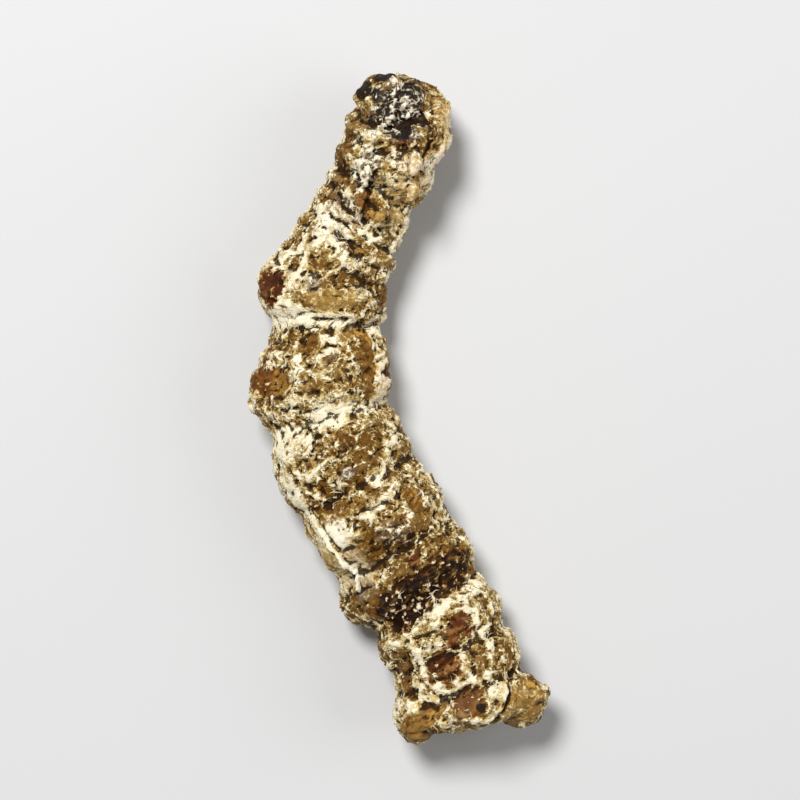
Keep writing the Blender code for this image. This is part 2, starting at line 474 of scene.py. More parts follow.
def add_head_legs_and_tail(body):
    bm = bmesh.new()
    bm.from_mesh(body.data)
    axes = Matrix((HEAD_ACROSS, HEAD_FORWARD, HEAD_UP)).transposed()
    for middle, radii in HEAD_LUMPS.values():
        place = Matrix.Translation(head_point(middle)) @ axes.to_4x4() @ Matrix.Diagonal((*radii, 1.0))
        bmesh.ops.create_icosphere(bm, subdivisions=3, radius=1.0, matrix=place)
    for middle, radii in TAIL_LUMPS.values():
        place = Matrix.Translation(middle) @ Matrix.Diagonal((*radii, 1.0))
        bmesh.ops.create_icosphere(bm, subdivisions=3, radius=1.0, matrix=place)
    for along, degrees, out in LEGS:
        tapered_tube(bm, leg_points(along, degrees, out), [LEG_RADIUS * share for _, _, share in LEG_PLACES])
    bm.to_mesh(body.data)
    bm.free()


add_head_legs_and_tail(body)
melt(body, FINE_STEP, 2)
keep_one_skin(body)
print("fine skin vertices", len(body.data.vertices), "faces", len(body.data.polygons))

# %% [markdown]
# ## What shows where
# The side that faces up is known from the photograph, so its marks are listed: white rings,
# bare ochre panels, the dark band, round red-brown spots, the pale ridge along the belly. Each has its
# place along the body, its angle round it, its half length and half width in millimetres and a turn. The
# side that nobody has seen gets marks of the same kinds at random places.

# %% Marks on the body
# Name: along, angle, half length, half width, turn in degrees, and what it does there. Thicknesses are in
# millimetres: coat thickens or thins the felt, height lifts or sinks the skin, ring raises a rim of felt
# round the mark. The rest are shares: tone goes from -1 dark to 1 ochre, red, black and grey stain, calm
# smooths the felt's pattern away, and pepper strews small bits of felt.
MARKS = {
    "face": (2.4, -3, 1.9, 1.55, 0, dict(black=0.9, grey=1.3, pepper=0.85, coat=-0.1)),
    "mouth_dark": (3.4, -10, 0.6, 0.5, 0, dict(black=1.0, coat=-0.1, height=-0.1)),
    "mouth_felt": (3.3, -14, 0.42, 0.38, 0, dict(black=1.0, ring=0.16, grey=0.8)),
    "face_felt": (0.9, -4, 0.6, 0.5, 30, dict(coat=0.05, grey=0.6, red=0.2)),
    "chin_red": (4.1, -12, 0.4, 0.5, 0, dict(coat=-0.14, red=0.8, pepper=0.3)),
    "jaw_corner": (1.3, 64, 0.55, 0.7, 0, dict(black=1.2, coat=-0.3, calm=0.5, pepper=0.3)),
    "crown_dark_1": (0.6, 38, 0.4, 0.55, 0, dict(black=1.1, coat=-0.25, pepper=0.3)),
    "crown_dark_2": (1.2, -33, 0.35, 0.4, 0, dict(black=0.8, coat=-0.1)),
    "cheek_cream": (3.6, 21, 1.0, 0.35, 0, dict(coat=0.12)),
    "cheek_ochre": (3.2, 58, 1.4, 0.5, 0, dict(coat=-0.1, tone=0.5, calm=0.3)),
    "collar_pink": (3.0, -72, 1.6, 0.7, 0, dict(coat=0.05, red=0.25, tone=1.0, calm=0.6, height=0.1)),
    "collar_shade": (3.4, -46, 1.0, 0.2, 0, dict(coat=-0.14, tone=-0.9, height=-0.14)),
    "throat_cream": (4.7, -28, 0.55, 0.9, 0, dict(coat=0.13, red=0.1)),
    "chest_grey": (6.0, 20, 1.1, 0.7, 10, dict(coat=0.04, grey=1.0, pepper=0.7)),
    "chest_spot_1": (6.7, 20, 0.22, 0.24, 0, dict(black=0.9, coat=-0.14)),
    "chest_spot_2": (6.0, 6, 0.2, 0.24, 0, dict(black=0.9, coat=-0.12)),
    "leg_red": (7.4, 0, 0.55, 0.32, 0, dict(red=1.0, coat=-0.16, calm=0.5)),
    "side_orange_1": (5.4, -46, 1.0, 1.2, 0, dict(coat=0.025, red=0.25, tone=1.9, calm=0.7)),
    "side_orange_2": (6.7, -50, 0.9, 0.9, 0, dict(coat=0.0, red=0.25, tone=1.9, calm=0.7)),
    "side_brown": (7.7, -21, 0.5, 0.28, 30, dict(coat=-0.16, tone=0.6)),
    "neck_white": (9.0, 24, 1.2, 1.2, -20, dict(coat=0.05, grey=0.6, calm=0.2)),
    "neck_ochre_1": (9.8, -27, 0.35, 0.6, 0, dict(coat=-0.12, tone=0.9)),
    "neck_ochre_2": (9.9, -58, 0.9, 0.7, 0, dict(coat=-0.08, red=0.15, tone=1.9, calm=0.8)),
    "stub_1": (12.6, 61, 0.62, 0.7, 0, dict(coat=-0.36, red=1.4, black=0.45, ring=0.1, pepper=0.45)),
    "stub_1_pink": (12.2, 42, 0.5, 0.4, 0, dict(coat=0.05, red=0.2)),
    "streak_3": (11.2, 40, 0.9, 0.32, -20, dict(coat=0.13)),
    "brown_3": (11.1, 14, 0.6, 0.75, 0, dict(coat=-0.08, tone=-0.1, calm=0.3)),
    "cream_3": (10.6, -10, 0.4, 1.0, 0, dict(coat=0.08)),
    "grey_3": (12.1, 16, 0.4, 0.5, 0, dict(coat=0.05, grey=0.9)),
    "panel_3": (12.9, -8, 0.6, 1.35, -6, dict(coat=-0.05, tone=1.7, height=0.05, calm=0.9)),
    "cream_3_back": (12.1, -44, 0.6, 0.5, 0, dict(coat=0.1)),
    "ring_34_belly": (13.8, 44, 0.5, 1.1, 0, dict(coat=0.14, grey=0.4)),
    "orange_4a": (14.5, -30, 0.4, 0.7, 0, dict(coat=-0.05, red=0.1, tone=1.9, calm=0.7, height=0.06)),
    "orange_4b": (14.5, -4, 0.25, 0.4, 0, dict(coat=-0.12, tone=0.8)),
    "brown_4_belly": (15.0, 43, 0.45, 0.6, 0, dict(coat=-0.1, tone=-0.3)),
    "cream_4_belly": (15.9, 52, 0.4, 0.6, 0, dict(coat=0.12)),
    "brown_4": (15.1, 15, 0.5, 0.5, 0, dict(coat=-0.12, tone=-0.2)),
    "arch_core": (15.9, -6, 0.42, 0.4, 0, dict(coat=-0.05, tone=-0.2, ring=0.09, grey=0.5)),
    "cream_4_core": (16.7, -1, 0.25, 0.5, 0, dict(coat=0.1)),
    "tan_4": (17.2, 8, 0.5, 0.9, 0, dict(coat=-0.03, tone=0.3, calm=0.3)),
    "strip_4": (16.1, -48, 2.1, 0.5, 0, dict(coat=-0.26, tone=0.2, red=0.1, calm=0.2)),
    "strip_4_pink": (17.0, -66, 2.3, 0.8, 0, dict(coat=0.12, red=0.2, tone=1.3, calm=0.8)),
    "black_4a": (16.3, -28, 0.16, 0.2, 0, dict(black=1.0, coat=-0.12)),
    "black_4b": (16.9, -26, 0.2, 0.16, 0, dict(black=1.0, coat=-0.12)),
    "cream_4_back": (16.4, -30, 0.7, 0.26, 0, dict(coat=0.1)),
    "stub_2": (16.8, 62, 0.8, 0.8, 0, dict(coat=-0.14, red=0.55, pepper=0.4)),
    "stub_2_ochre": (17.0, 45, 0.7, 0.4, 0, dict(coat=-0.1, tone=0.6)),
    "stub_2_rim": (17.0, 60, 1.2, 1.2, 0, dict(ring=0.08, pepper=0.3)),
    "stub_2_lobe": (17.9, 90, 0.4, 0.6, 0, dict(coat=0.1, height=0.16)),
    "ring_45": (18.8, 0, 0.5, 1.3, 0, dict(coat=0.18)),
    "ring_45_belly": (19.7, 46, 0.9, 0.7, 20, dict(coat=0.12)),
    "margin_5": (21.2, 66, 1.8, 0.45, 0, dict(coat=0.12, calm=0.6, grey=0.3)),
    "ring_45_back": (18.8, -40, 0.4, 0.9, 0, dict(coat=0.0, tone=0.4)),
    "eye_5": (20.4, -8, 0.5, 0.4, 0, dict(coat=-0.12, tone=-0.3, ring=0.1)),
    "eye_5_black": (20.7, -9, 0.2, 0.26, 0, dict(black=1.0)),
    "black_5": (19.6, 17, 0.16, 0.3, 0, dict(black=1.0, coat=-0.14)),
    "brown_5_back": (21.6, -30, 1.3, 1.1, 0, dict(coat=-0.01, tone=0.1)),
    "lens_5": (22.5, 38, 1.05, 1.1, 0, dict(coat=-0.06, tone=0.1, red=0.2, ring=0.1, pepper=0.5)),
    "grey_5": (21.8, 2, 0.35, 0.5, 0, dict(coat=0.0, grey=1.0)),
    "panel_5": (22.7, 11, 0.6, 0.6, 0, dict(coat=0.07, calm=0.3)),
    "ochre_5": (23.3, 8, 0.3, 0.5, 0, dict(coat=-0.1, tone=0.7)),
    "orange_5": (24.9, -42, 0.8, 0.6, 0, dict(coat=-0.16, tone=0.4, red=0.15, calm=0.2)),
    "orange_6": (26.0, -45, 0.8, 0.4, 0, dict(coat=-0.1, tone=0.7)),
    "grey_6": (25.6, -8, 0.7, 0.8, 0, dict(coat=0.0, grey=0.5, pepper=0.4)),
    "black_6a": (25.9, 4, 0.24, 0.3, 0, dict(black=1.0, coat=-0.14)),
    "black_6b": (26.2, -21, 0.2, 0.24, 0, dict(black=1.0, coat=-0.14)),
    "brown_6": (26.3, 24, 0.5, 0.5, 0, dict(coat=-0.12, tone=-0.1)),
    "red_6": (27.2, -11, 0.35, 0.5, 0, dict(coat=-0.14, red=0.85)),
    "flank_smooth": (25.6, 58, 2.6, 1.6, 0, dict(calm=1.0)),
    "flank_white": (24.2, 40, 0.8, 0.8, 30, dict(coat=0.1, grey=0.5, calm=0.4)),
    "flank_grey": (26.2, 50, 1.7, 0.8, 6, dict(coat=0.03, grey=0.6, calm=0.6)),
    "flank_brown": (28.6, 52, 1.6, 0.9, 0, dict(coat=-0.1, tone=0.2)),
    "tail_felt": (31.6, 0, 1.9, 2.6, 0, dict(coat=0.015)),
    "thin_felt_56": (23.4, -8, 3.6, 3.4, 0, dict(coat=-0.055)),
    "tail_spot_1": (31.3, -17, 0.68, 0.95, 0, dict(coat=-0.26, red=0.8, height=0.1, ring=0.1, pepper=0.7)),
    "tail_spot_2": (32.8, 10, 0.9, 0.9, 0, dict(coat=-0.32, red=1.0, height=0.06, ring=0.1, pepper=0.6)),
    "tail_spot_3": (34.9, -4, 0.75, 0.85, 0, dict(coat=-0.22, red=0.5, grey=0.25, height=0.08, ring=0.1, pepper=0.85)),
    "tail_spot_2_bit": (32.6, 17, 0.16, 0.14, 0, dict(coat=0.3)),
    "tail_spot_3_dark": (35.3, -14, 0.28, 0.4, 0, dict(black=0.8, coat=-0.1)),
    "tail_small_ring": (33.6, 50, 0.34, 0.3, 0, dict(coat=-0.1, tone=-0.2, ring=0.08)),
    "tail_green": (32.3, 56, 1.3, 0.6, 0, dict(coat=-0.14, grey=0.2)),
    "band_bits": (29.2, 34, 0.8, 1.0, 0, dict(pepper=1.2, grey=0.4)),
    "tail_cream": (34.4, 42, 0.5, 1.1, -24, dict(coat=0.12, calm=0.7)),
    "tail_ochre": (35.5, 56, 0.75, 1.8, -28, dict(coat=-0.22, tone=0.5, red=0.1, calm=0.8)),
    "flap_ochre": (35.8, -58, 1.0, 1.2, 0, dict(coat=-0.04, tone=1.8, red=0.1, calm=0.9)),
    "flap_cream": (34.8, -36, 0.4, 0.5, 0, dict(coat=0.16)),
    "tail_back_brown": (32.4, -58, 1.0, 0.4, 0, dict(coat=-0.1, tone=-0.4)),
}

# Lines of felt or folds: half width, what they do, and the (along, angle) places they run through
LINES = {
    "neck_fold_1": (0.07, dict(height=-0.06, coat=-0.18, tone=-0.4), [(8.0, 34), (8.35, 24), (8.3, 6)]),
    "neck_fold_2": (0.06, dict(height=-0.07, coat=-0.2, tone=-0.6), [(8.7, 42), (9.0, 26), (8.9, 8), (9.2, -12)]),
    "neck_fold_3": (0.07, dict(height=-0.06, coat=-0.16, tone=-0.4), [(9.6, 38), (9.45, 20), (9.8, 4), (9.6, -8)]),
    "neck_rib": (0.14, dict(height=0.05, coat=0.06), [(9.9, 34), (9.1, 14), (9.5, -18)]),
    "belly_ochre": (0.5, dict(coat=-0.34, tone=-0.4), [(4.2, 70), (6.0, 62), (7.0, 54), (8.1, 48)]),
    "line_34": (0.15, dict(coat=0.15), [(13.7, 22), (13.65, -4), (13.6, -30)]),
    "line_34_dark": (0.06, dict(height=-0.08, coat=-0.16, tone=-0.6), [(13.85, 16), (13.8, -4), (13.85, -10)]),
    "line_34_low": (0.16, dict(coat=0.14), [(14.1, 30), (14.15, 8), (14.0, -12), (13.95, -34)]),
    "arch_dark": (0.12, dict(coat=-0.16, tone=-1.0, height=-0.06), [(15.6, 5), (15.15, -4), (15.2, -12), (15.5, -19)]),
    "lens_line": (0.11, dict(coat=0.26, height=0.06), [(21.8, 50), (22.3, 42), (23.0, 34)]),
    "black_5_dash": (0.08, dict(coat=-0.2, tone=-1.0), [(19.5, 22), (19.7, 14)]),
    "slant_56": (0.3, dict(coat=0.12), [(23.7, -34), (23.9, -9), (24.2, 11), (24.4, 33), (24.1, 50)]),
    "slant_56_spur": (0.2, dict(coat=0.1), [(24.2, 6), (25.0, 0), (25.2, -8)]),
    "belly_ridge": (0.075, dict(coat=0.36, height=0.24, calm=1.0),
                    [(22.6, 66), (23.8, 58), (25.0, 53), (26.3, 55), (27.2, 62)]),
    "belly_ditch": (0.06, dict(coat=-0.2, height=-0.05, tone=-0.9), [(22.6, 60), (23.6, 53), (24.8, 48)]),
    "dark_band": (0.9, dict(coat=-0.34, black=0.95, red=0.8, height=-0.08, pepper=2.1),
                  [(28.6, -54), (28.6, -25), (28.6, -2), (28.9, 18), (29.3, 40)]),
    "band_brown": (0.8, dict(coat=-0.1, tone=-0.5), [(27.5, -40), (27.5, -5), (28.0, 30)]),
    "band_edge": (0.28, dict(coat=0.16, height=0.06, calm=0.4), [(29.8, -70), (29.95, -30), (30.15, -1), (30.35, 22), (30.7, 49)]),
    "arc_left": (0.15, dict(coat=0.15, height=0.05), [(30.9, 31), (31.9, 34), (32.9, 33), (33.8, 25), (34.3, 15)]),
    "arc_right": (0.17, dict(coat=0.15, height=0.05), [(30.6, -33), (31.7, -43), (32.8, -42), (33.9, -32)]),
    "arc_middle": (0.15, dict(coat=0.12, height=0.04), [(31.9, 0), (32.4, -8), (33.6, -12), (34.2, -20)]),
    "tail_rim": (0.14, dict(coat=0.2, height=0.06, calm=0.5), [(35.3, 12), (35.75, -2), (36.0, -16), (35.6, -30)]),
    "tail_step": (0.1, dict(height=-0.08), [(34.3, 76), (34.9, 50), (35.6, 18)]),
    "lobe_cleft": (0.14, dict(height=-0.25, coat=-0.12, tone=-0.9), [(34.1, -62), (34.6, -50), (35.5, -38), (36.3, -28)]),
}
EFFECTS = ("coat", "height", "ring", "tone", "red", "black", "grey", "calm", "pepper")
HIDDEN_MARKS = 80


def hidden_marks():
    """Marks for the side that faces down, of the same kinds as the listed ones."""
    dice = np.random.default_rng(5)
    kinds = [
        dict(coat=0.13), dict(coat=-0.1, tone=0.8, calm=0.4), dict(coat=-0.08, tone=-0.3, ring=0.08),
        dict(coat=0.1, grey=0.5), dict(coat=-0.12, tone=0.3, height=0.06), dict(coat=-0.2, red=0.9, ring=0.05),
        dict(coat=0.06, calm=0.6), dict(coat=-0.1, tone=-0.4, pepper=0.5),
    ]
    marks = {}
    for k in range(HIDDEN_MARKS):
        place = dice.uniform(4, BODY_LENGTH - 1), dice.uniform(85, 285)
        shape = dice.uniform(0.3, 0.8), dice.uniform(0.4, 1.3), dice.uniform(-40, 40)
        marks[f"hidden_{k}"] = (*place, *shape, kinds[k % len(kinds)])
    return marks


def round_gap(angle, degrees, radius):
    """Millimetres round the body from the given angle."""
    return np.radians((angle - degrees + 180) % 360 - 180) * radius


def mark_fields(straight):
    """Adds up what all marks and lines do at each vertex."""
    along = straight[:, 0]
    angle = angle_round(straight)
    radius = np.hypot(straight[:, 1], straight[:, 2]).clip(0.8)
    fields = {effect: np.zeros(len(straight)) for effect in EFFECTS}
    fray = 0.5 * rough(straight, 0.8, 41, 4, 0.7)
    broken = 0.75 + 0.6 * rough(straight, 0.45, 42, 2)
    for place, degrees, half_length, half_width, turn, effects in {**MARKS, **hidden_marks()}.values():
        ahead = along - place
        beside = round_gap(angle, degrees, radius)
        c, s = math.cos(math.radians(turn)), math.sin(math.radians(turn))
        reach = np.hypot((ahead * c + beside * s) / half_length, (beside * c - ahead * s) / half_width)
        cover = 1 - ramp(reach + fray, 0.65, 1.25)
        rim = np.exp(-(((reach + 0.6 * fray - 1.25) / 0.25) ** 2))
        for effect, amount in effects.items():
            fields[effect] += amount * (rim * broken if effect == "ring" else cover)
    for half_width, effects, stops in LINES.values():
        gap = np.full(len(straight), 99.0)
        for (a_along, a_angle), (b_along, b_angle) in zip(stops, stops[1:]):
            dx, dy = b_along - a_along, round_gap(b_angle, a_angle, radius)
            px, py = along - a_along, round_gap(angle, a_angle, radius)
            t = np.clip((px * dx + py * dy) / (dx * dx + dy * dy), 0, 1)
            gap = np.minimum(gap, np.hypot(px - t * dx, py - t * dy))
        cover = 1 - ramp(gap / half_width + fray, 0.4, 1.6)
        for effect, amount in effects.items():
            fields[effect] += amount * cover * broken
    return fields


# %% [markdown]
# ## Skin and felt
# Two surfaces are worked out at every vertex. The skin is wrinkled, cracked and knobbly. The felt grows
# over it as mats and as a net along the wrinkles, and it is missing between them where it never grew or was
# rubbed off. How thick it is here says what is seen, and both the shape and the colour come from this one
# number, so the felt's edge is a real small step.

# %% Fine relief
FELT_SHARE = 0.38  # of the skin, before the marks add to it and take away
THICKEST_FELT = 0.13


def skin_relief(straight):
    """Wrinkles round the body, cracks and small knobs, in millimetres, and a number for each knob."""
    warped = straight * (1.0, 0.7, 0.7) + 0.25 * waves(straight, 0.9, 52)[:, None]
    _, border, number = cells(warped, 0.8, 53)
    relief = 0.05 * (ramp(border, 0.0, 0.5) - 0.5) * (0.5 + number)
    relief += 0.045 * rough(straight * (1.0, 0.5, 0.5), 0.5, 51, 3, 0.6)
    cracks = creases(warped, 0.75, 54, 0.07)
    return relief - 0.07 * cracks, cracks, number


def felt_pattern(straight):
    """Mats, a broken net and fine lumps of felt, in millimetres, with the wanted share of it above 0."""
    warped = straight * (1.0, 0.8, 0.8) + 0.3 * waves(straight, 1.1, 60)[:, None]
    net = creases(warped, 1.05, 62, 0.13) + 0.55 * creases(warped, 0.55, 63, 0.13)
    broken = ramp(rough(straight, 1.0, 64, 2), -0.3, 0.25)
    pattern = 0.09 * rough(straight, 2.3, 61, 2) + 0.2 * net * (0.3 + 0.7 * broken)
    pattern += 0.06 * rough(straight, 0.42, 65, 3, 0.7)
    return pattern - np.percentile(pattern, 100 * (1 - FELT_SHARE))


def relief_and_marks(body):
    points = read_points(body)
    straight = straighten(points)
    _, filling = folds_at(straight)
    rings = small_rings(straight)
    marks = mark_fields(straight)
    skin, cracks, number = skin_relief(straight)
    calm = np.clip(marks["calm"], 0, 1)
    bits = creases(straight, 0.55, 66, 0.12) + 1.2 * ramp(rough(straight, 0.32, 67, 2), 0.15, 0.45) - 0.5
    felt = felt_pattern(straight) * (1 - 0.7 * calm) + filling + 0.02 * rings
    felt += marks["coat"] + marks["ring"] + 0.26 * bits * marks["pepper"]
    speck = ramp(rough(straight, 0.24, 72, 2), 0.5, 0.8) * (1 - 0.6 * ramp(felt, 0.02, 0.12)) * (1 - 0.6 * calm)
    thickness = THICKEST_FELT * (1 - np.exp(-np.maximum(felt, 0) / THICKEST_FELT))
    height = skin * (1 - 0.7 * calm) * (1 - 2.5 * thickness) + thickness - 0.06 * rings
    height += 0.8 * marks["height"] + 0.3 * marks["ring"] - 0.07 * speck
    points += read_normals(body) * height[:, None]
    points[:, 2] = np.maximum(points[:, 2], 0.012 * waves(straight, 0.5, 73) + 0.012)
    write_points(body, points)
    tone = marks["tone"] + 0.3 * rough(straight, 1.6, 74, 2) + 0.5 * (number - 0.5) - 0.6 * cracks
    return {
        "felt": felt, "tone": tone, "speck": speck, "black": marks["black"], "calm": calm,
        "red": marks["red"] * (0.8 + 0.6 * rough(straight, 0.4, 76, 2)),
        "grey": marks["grey"] + 0.15 * rough(straight, 1.8, 75, 2),
    }


fields = relief_and_marks(body)
print("felt covers", round(float((fields["felt"] > 0).mean()), 2), "of the skin")

# %% [markdown]
# ## Hollows
# Shade is painted into the hollows as a dark colour, and crests are painted lighter as a painted highlight. How
# hollow a place is comes from the finished mesh: the surface is averaged over its neighbours, and a vertex
# below that average lies in a hollow.

# %% Hollows from the mesh
def neighbour_mean(values, edges, counts, rounds):
    """Averages the values over the neighbours, again and again."""
    for _ in range(rounds):
        total = values.copy()
        for k in range(values.shape[1]):
            total[:, k] += np.bincount(edges[:, 0], values[edges[:, 1], k], len(values))
            total[:, k] += np.bincount(edges[:, 1], values[edges[:, 0], k], len(values))
        values = total / (counts + 1)[:, None]
    return values


def hollows(body, rounds):
    """Millimetres below the surface's own average, positive in a hollow."""
    edges = np.empty(len(body.data.edges) * 2, np.int32)
    body.data.edges.foreach_get("vertices", edges)
    edges = edges.reshape(-1, 2)
    points = read_points(body)
    counts = np.bincount(edges.ravel(), minlength=len(points))
    mean = neighbour_mean(points, edges, counts, rounds)
    return ((mean - points) * read_normals(body)).sum(1)


def write_fields(mesh, values):
    for name, numbers in values.items():
        layer = mesh.attributes.new(name, "FLOAT", "POINT")
        layer.data.foreach_set("value", numbers.astype(np.float32))


fields["hollow"] = hollows(body, 14)
write_fields(body.data, fields)
print("hollow range", [round(float(v), 3) for v in np.percentile(fields["hollow"], (2, 50, 98))])

# %% [markdown]
# ## Material
# Two real surfaces meet here. The skin is a larva's cuticle: thin, horny, amber to red-brown, and with a
# weak gloss where it was rubbed. The felt is a mat of fungus threads with spore powder, cream, matt and
# grainy. The vertex numbers made above say which one shows. Thin felt lets the brown skin show through,
# so the colour climbs from brown by khaki and tan to cream as the felt gets thicker. Fine noise frays
# every edge, because the felt's real edge is finer than the mesh.

# %% Colours and node helper
def linear(hex_colour):
    """An sRGB hex colour as linear red, green, blue and full alpha."""
    channels = [int(hex_colour[i:i + 2], 16) / 255 for i in (1, 3, 5)]
    return [c / 12.92 if c <= 0.04045 else ((c + 0.055) / 1.055) ** 2.4 for c in channels] + [1.0]


def add_node(tree, kind, output, links, **settings):
    """Adds a node with its settings. Links give each input a value or another node's output."""
    node = tree.nodes.new(kind)
    for name, value in settings.items():
        setattr(node, name, value)
    for socket, source in links.items():
        if isinstance(source, bpy.types.NodeSocket):
            tree.links.new(source, node.inputs[socket])
        else:
            node.inputs[socket].default_value = source
    return node.outputs[output]


# %% Cuticle and felt
# Noises in the material: size of the grain in millimetres, detail. Grains under 0.05 would not show
NOISES = {"fleck": (0.36, 2.0), "fray": (0.18, 2.0), "grain": (0.08, 2.0), "cloud": (1.3, 3.0)}
FRAYS = {"fleck": 0.28, "fray": 0.22, "grain": 0.12}  # millimetres of felt that the noise adds or takes
STRANDS = (0.55, 0.28, 0.16, 0.16)  # net of strands: mesh width, how far it is bent, share of a strand, its height
# Stains and painted light in the order they lie on each other: the value that shows them, where it starts and is full,
# share, colour
SKIN_STAINS_AND_CREST_HIGHLIGHT = [
    ("tone", -0.15, -0.9, 0.9, "#2f1903"),
    ("tone", 0.1, 0.9, 1.0, "#c6984a"),
    ("grey", 0.2, 1.0, 0.6, "#6e6650"),
    ("cloud", 0.5, 0.66, 0.5, "#a27838"),
    ("red", 0.2, 0.85, 0.95, "#5f2c0e"),
    ("fleck", 0.44, 0.32, 0.6, "#3f2303"),
    # painted highlight: crests that stand above the surface's average are painted light ochre
    ("hollow", -0.025, -0.08, 0.45, "#c2a062"),
    ("black", 0.25, 0.75, 0.95, "#17100a"),
]
FELT_LAYERS_AND_EDGE_SHADE = [
    # painted shade: this first, dark layer draws a dark line just outside the felt's edge, as the shade of its step;
    # the later layers are the felt's own colour by its thickness
    ("level", -0.2, -0.11, 0.5, "#422905"),
    ("level", -0.13, -0.04, 0.8, "#99753a"),
    ("level", -0.07, 0.0, 0.85, "#bb9a5b"),
    ("level", -0.01, 0.05, 0.95, "#e3ca8d"),
    ("level", 0.06, 0.14, 0.9, "#fbf2d6"),
]
HOLLOW_SHADE_AND_SPECKS = [
    # painted shade: hollows in the mesh are painted dark brown
    ("hollow", 0.008, 0.045, 0.92, "#251101"),
    ("speck", 0.25, 0.7, 0.94, "#140a02"),
]
BARE_SKIN = "#7b5116"
GREY_FELT = "#d3d4c4"
PINK_FELT = "#dfa888"


def lay_colours_over(tree, colour, stains, values):
    """Lays the colour layers on the colour, one after another: stains, and painted shade and highlight where a list
    holds them.
    """
    for name, start, full, share, hex_colour in stains:
        links = {"Value": values[name], "From Min": start, "From Max": full, "To Max": share}
        cover = add_node(tree, "ShaderNodeMapRange", "Result", links, interpolation_type="SMOOTHSTEP")
        links = {"Factor": cover, 6: colour, 7: linear(hex_colour)}
        colour = add_node(tree, "ShaderNodeMix", 2, links, data_type="RGBA")
    return colour


def silkworm_material():
    material = bpy.data.materials.new("larva_cuticle_under_mycelium_felt")
    material.use_nodes = True
    tree = material.node_tree
    shader = tree.nodes["Principled BSDF"]
    place = add_node(tree, "ShaderNodeTexCoord", "Object", {})
    values = {name: add_node(tree, "ShaderNodeAttribute", "Fac", {}, attribute_name=name) for name in fields}
    for name, (size, detail) in NOISES.items():
        links = {"Vector": place, "Scale": 1 / (size * MM), "Detail": detail, "Roughness": 0.6}
        values[name] = add_node(tree, "ShaderNodeTexNoise", "Fac", links)
    unrest = 0.0
    for name, amount in FRAYS.items():
        centred = add_node(tree, "ShaderNodeMath", 0, {0: values[name], 1: 0.5}, operation="SUBTRACT")
        unrest = add_node(tree, "ShaderNodeMath", 0, {0: centred, 1: amount, 2: unrest}, operation="MULTIPLY_ADD")
    mesh_width, bend, share, rise = STRANDS
    links = {"Vector": place, "Scale": 1 / (0.5 * MM), "Detail": 2.0}
    bent = add_node(tree, "ShaderNodeTexNoise", "Color", links)
    bent = add_node(tree, "ShaderNodeVectorMath", 0, {0: bent, 1: (0.5, 0.5, 0.5)}, operation="SUBTRACT")
    bent = add_node(tree, "ShaderNodeVectorMath", 0, {0: bent, "Scale": 4 * bend * MM}, operation="SCALE")
    bent = add_node(tree, "ShaderNodeVectorMath", 0, {0: bent, 1: place}, operation="ADD")
    links = {"Vector": bent, "Scale": 1 / (mesh_width * MM)}
    edge = add_node(tree, "ShaderNodeTexVoronoi", "Distance", links, feature="DISTANCE_TO_EDGE")
    links = {"Value": edge, "From Min": 0.0, "From Max": share, "To Min": rise, "To Max": -0.04}
    strand = add_node(tree, "ShaderNodeMapRange", "Result", links, interpolation_type="SMOOTHSTEP")
    links = {"Value": values["fleck"], "From Min": 0.4, "From Max": 0.6, "To Min": 0.0, "To Max": 1.0}
    torn = add_node(tree, "ShaderNodeMapRange", "Result", links)
    unrest = add_node(tree, "ShaderNodeMath", 0, {0: strand, 1: torn, 2: unrest}, operation="MULTIPLY_ADD")
    links = {"Value": values["calm"], "To Min": 1.0, "To Max": 0.4}
    share = add_node(tree, "ShaderNodeMapRange", "Result", links)
    links = {0: unrest, 1: share, 2: values["felt"]}
    level = add_node(tree, "ShaderNodeMath", 0, links, operation="MULTIPLY_ADD")
    values["level"] = level

    colour = lay_colours_over(tree, linear(BARE_SKIN), SKIN_STAINS_AND_CREST_HIGHLIGHT, values)
    colour = lay_colours_over(tree, colour, FELT_LAYERS_AND_EDGE_SHADE, values)
    links = {"Value": values["grey"], "From Min": 0.1, "From Max": 1.2, "To Max": 0.6}
    greyness = add_node(tree, "ShaderNodeMapRange", "Result", links)
    links = {"Factor": greyness, 6: colour, 7: linear(GREY_FELT)}
    colour = add_node(tree, "ShaderNodeMix", 2, links, data_type="RGBA", blend_type="SATURATION")
    links = {"Value": values["red"], "From Min": 0.0, "From Max": 0.6, "To Max": 0.5}
    pinkness = add_node(tree, "ShaderNodeMapRange", "Result", links)
    links = {"Factor": pinkness, 6: colour, 7: linear(PINK_FELT)}
    colour = add_node(tree, "ShaderNodeMix", 2, links, data_type="RGBA", blend_type="MULTIPLY")
    colour = lay_colours_over(tree, colour, HOLLOW_SHADE_AND_SPECKS, values)

    links = {"Value": level, "From Min": -0.05, "From Max": 0.03, "To Min": 0.58, "To Max": 0.96}
    roughness = add_node(tree, "ShaderNodeMapRange", "Result", links)
    links = {"Value": level, "From Min": -0.1, "From Max": 0.12, "To Min": 0.0, "To Max": 0.11}
    relief = add_node(tree, "ShaderNodeMapRange", "Result", links)
    relief = add_node(tree, "ShaderNodeMath", 0, {0: values["grain"], 1: 0.05, 2: relief}, operation="MULTIPLY_ADD")
    bump = add_node(tree, "ShaderNodeBump", "Normal", {"Height": relief, "Strength": 0.9, "Distance": MM})
    tree.links.new(colour, shader.inputs["Base Color"])
    tree.links.new(roughness, shader.inputs["Roughness"])
    tree.links.new(bump, shader.inputs["Normal"])
    shader.inputs["IOR"].default_value = 1.5
    shader.inputs["Specular IOR Level"].default_value = 0.12
    return material


body.data.transform(Matrix.Scale(MM, 4))
body.data.materials.clear()
body.data.materials.append(silkworm_material())
body.data.shade_smooth()
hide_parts(NODE)
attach(body, "root")

# %% [markdown]
# ## Loose crumbs and threads
# The felt is loose at its surface: its spores clump into little crumbs, and single strands of threads lie
# over it and stick out at their ends. They are far finer than the squares of the skin, so they are
# pieces of their own. Each is built from arrays at a random place where the felt is thick, the strands by
# laying a bent line on the nearest skin and building a thin tapered tube round it.

